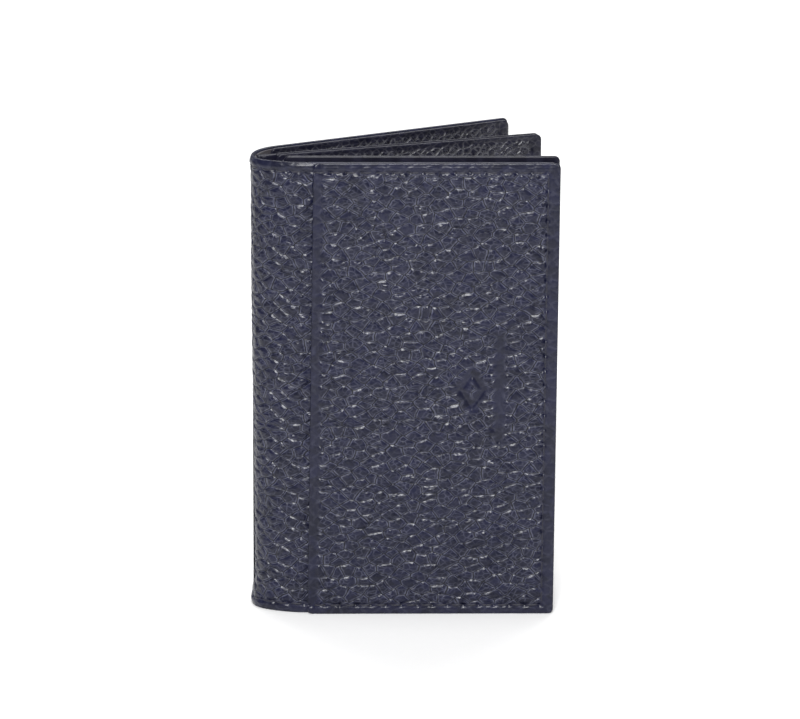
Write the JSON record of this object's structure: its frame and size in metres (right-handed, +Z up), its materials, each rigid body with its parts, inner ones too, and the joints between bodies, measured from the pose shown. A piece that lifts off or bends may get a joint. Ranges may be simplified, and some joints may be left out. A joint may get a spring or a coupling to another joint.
{
  "type": "card holder",
  "caption": "Upright leather card holder with two stitched covers on a bowed spine and a hinged middle leaf of card pockets.",
  "frame": {"origin": "middle of the plan of the part-open holder, on the surface that it stands on", "axes": "+X along the front cover from the spine to its free edge, +Y from the front cover towards the back cover, +Z up"},
  "size_m": [0.0686, 0.0465, 0.1058],
  "materials": {
    "cover_leather": "satin",
    "inner_leather": "satin",
    "lining": "matte",
    "pocket_fabric": "matte",
    "board": "matte",
    "thread": "satin"
  },
  "bodies": {
    "spine": {"spine_cover": "cover_leather", "spine_lining": "lining", "spine_stitching": "thread", "leaf_anchor_tape": "inner_leather"},
    "front_cover": {"front_cover_leather": "cover_leather", "front_outer_pocket": "cover_leather", "front_stiffener": "board", "front_cover_lining": "lining", "front_inner_panel": "inner_leather", "front_upper_pocket": "inner_leather", "front_pocket_fabric": "pocket_fabric", "front_lower_pocket": "inner_leather", "front_cover_stitching": "thread", "front_pocket_stitching": "thread"},
    "back_cover": {"back_cover_leather": "cover_leather", "back_stiffener": "board", "back_cover_lining": "lining", "back_inner_panel": "inner_leather", "back_upper_pocket": "inner_leather", "back_pocket_fabric": "pocket_fabric", "back_lower_pocket": "inner_leather", "back_cover_stitching": "thread", "back_pocket_stitching": "thread"},
    "middle_leaf": {"leaf_hinge_strip": "inner_leather", "leaf_core": "board", "leaf_front_panel": "inner_leather", "leaf_front_upper_pocket": "inner_leather", "leaf_front_pocket_fabric": "pocket_fabric", "leaf_front_lower_pocket": "inner_leather", "leaf_rear_panel": "inner_leather", "leaf_rear_upper_pocket": "inner_leather", "leaf_rear_pocket_fabric": "pocket_fabric", "leaf_rear_lower_pocket": "inner_leather", "leaf_stitching": "thread"}
  },
  "joints": [
    {"name": "front_cover_fold", "type": "hinge", "parent": "spine", "child": "front_cover", "pos_m": [-0.03225, -0.02025, 0], "axis": [0, 0, 1], "range_deg": [-90, 0]},
    {"name": "back_cover_fold", "type": "hinge", "parent": "spine", "child": "back_cover", "pos_m": [-0.0332, -0.00902, 0], "axis": [0, 0, 1], "range_deg": [-28, 61.7]},
    {"name": "middle_leaf_fold", "type": "hinge", "parent": "spine", "child": "middle_leaf", "pos_m": [-0.03105, -0.01472, 0], "axis": [0, 0, 1], "range_deg": [-18.7, 41.1]}
  ],
  "couplings": [
    {"joint": "middle_leaf_fold", "follows": "back_cover_fold", "ratio": 0.66431}
  ]
}
